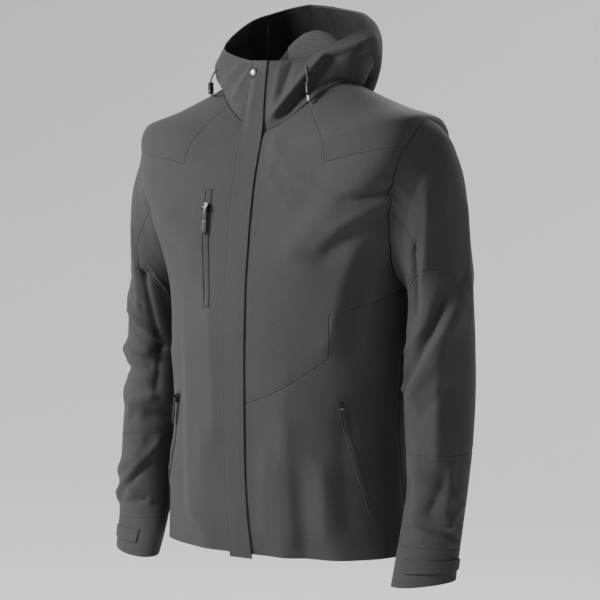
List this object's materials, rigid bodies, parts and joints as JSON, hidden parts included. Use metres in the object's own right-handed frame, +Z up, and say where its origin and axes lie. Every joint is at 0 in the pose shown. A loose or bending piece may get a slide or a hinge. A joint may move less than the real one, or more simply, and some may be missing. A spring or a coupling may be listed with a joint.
{
  "type": "hooded softshell jacket",
  "caption": "Hooded softshell jacket filled out as if worn, hood laid back, with a storm flap over the front zip, zip pockets, shaped yokes and cuff tabs.",
  "frame": {"origin": "inside the base of the neck, where the wearer's neck and shoulders hold the jacket up", "axes": "+Z up, -Y the way the wearer faces, +X towards the wearer's left"},
  "size_m": [0.5895, 0.2913, 0.8446],
  "materials": {
    "shell_fabric": "matt woven softshell, dark grey",
    "lining": "black mesh",
    "zip_tape": "black zip tape",
    "black_plastic": "black plastic and rubber",
    "cord": "black braided cord",
    "metal": "dull silver"
  },
  "bodies": {
    "jacket": {"front_left_lower": "shell_fabric", "front_left_upper": "shell_fabric", "yoke_left": "shell_fabric", "back": "shell_fabric", "hood_left": "shell_fabric", "hood_crown": "shell_fabric", "front_right": "shell_fabric", "yoke_right": "shell_fabric", "hood_right": "shell_fabric", "front_zip": "zip_tape", "sleeve_under_left": "shell_fabric", "sleeve_elbow_left": "shell_fabric", "sleeve_forearm_left": "shell_fabric", "cuff_left": "shell_fabric", "sleeve_cap_left": "shell_fabric", "sleeve_under_right": "shell_fabric", "sleeve_elbow_right": "shell_fabric", "sleeve_forearm_right": "shell_fabric", "cuff_right": "shell_fabric", "sleeve_cap_right": "shell_fabric", "storm_flap": "shell_fabric", "cuff_tab_left": "shell_fabric", "cuff_tab_right": "shell_fabric", "crown_facing": "shell_fabric", "neck_lining": "lining", "chest_zip": "zip_tape", "chest_slider": "black_plastic", "pocket_left_zip": "zip_tape", "pocket_left_slider": "black_plastic", "pocket_right_zip": "zip_tape", "pocket_right_slider": "black_plastic", "collar_snap": "metal", "eyelet_left": "metal", "cord_left": "cord", "cord_lock_left": "black_plastic", "cord_tip_left": "metal", "eyelet_right": "metal", "cord_right": "cord", "cord_lock_right": "black_plastic"},
    "chest_pull_body": {"chest_pull": "black_plastic"},
    "pocket_left_pull_body": {"pocket_left_pull": "black_plastic"},
    "pocket_right_pull_body": {"pocket_right_pull": "black_plastic"}
  },
  "joints": [
    {"name": "chest_pull_hinge", "type": "hinge", "parent": "jacket", "child": "chest_pull_body", "pos_m": [-0.07193, -0.13127, -0.18584], "axis": [-0.9998, -0.0184, 0.0044], "range_deg": [0, 140]},
    {"name": "pocket_left_pull_hinge", "type": "hinge", "parent": "jacket", "child": "pocket_left_pull_body", "pos_m": [0.14215, -0.10771, -0.47133], "axis": [-0.7338, -0.6223, -0.2725], "range_deg": [-3, 140]},
    {"name": "pocket_right_pull_hinge", "type": "hinge", "parent": "jacket", "child": "pocket_right_pull_body", "pos_m": [-0.14215, -0.10771, -0.47132], "axis": [-0.7338, 0.6223, 0.2725], "range_deg": [-3, 140]}
  ]
}
